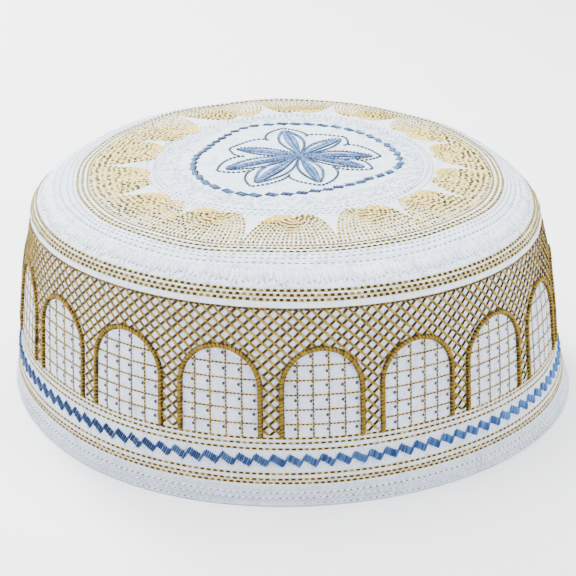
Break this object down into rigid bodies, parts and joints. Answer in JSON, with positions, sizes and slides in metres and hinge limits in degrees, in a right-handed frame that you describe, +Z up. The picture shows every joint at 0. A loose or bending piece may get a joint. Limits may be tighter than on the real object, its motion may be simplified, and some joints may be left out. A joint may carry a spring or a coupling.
{
  "type": "prayer cap",
  "caption": "Round cloth prayer cap with a nearly flat crown, a rounded shoulder, a flared side wall with raised arches, and an open head hollow.",
  "frame": {"origin": "middle of the rim's box, on the surface that the rim rests on", "axes": "+Z up through the crown, -Y towards the front as pictured, +X to the wearer's left in that view"},
  "size_m": [0.1939, 0.193, 0.0771],
  "materials": {
    "crown_cloth": "white woven cotton, quilted",
    "band_cloth": "white woven cotton, embroidered",
    "hem_cloth": "white woven cotton, densely stitched",
    "gold_thread": "shiny metallised gold thread",
    "blue_thread": "silky blue thread",
    "white_thread": "silky white thread"
  },
  "bodies": {
    "root": {"crown": "crown_cloth", "side_band": "band_cloth", "hem": "hem_cloth", "arch_cord_01": "gold_thread", "arch_cord_02": "gold_thread", "arch_cord_03": "gold_thread", "arch_cord_04": "gold_thread", "arch_cord_05": "gold_thread", "arch_cord_06": "gold_thread", "arch_cord_07": "gold_thread", "arch_cord_08": "gold_thread", "arch_cord_09": "gold_thread", "arch_cord_10": "gold_thread", "arch_cord_11": "gold_thread", "arch_cord_12": "gold_thread", "arch_cord_13": "gold_thread", "arch_cord_14": "gold_thread", "arch_cord_15": "gold_thread", "arch_cord_16": "gold_thread", "arch_cord_17": "gold_thread", "arch_cord_18": "gold_thread", "arch_cord_19": "gold_thread"}
  },
  "joints": []
}
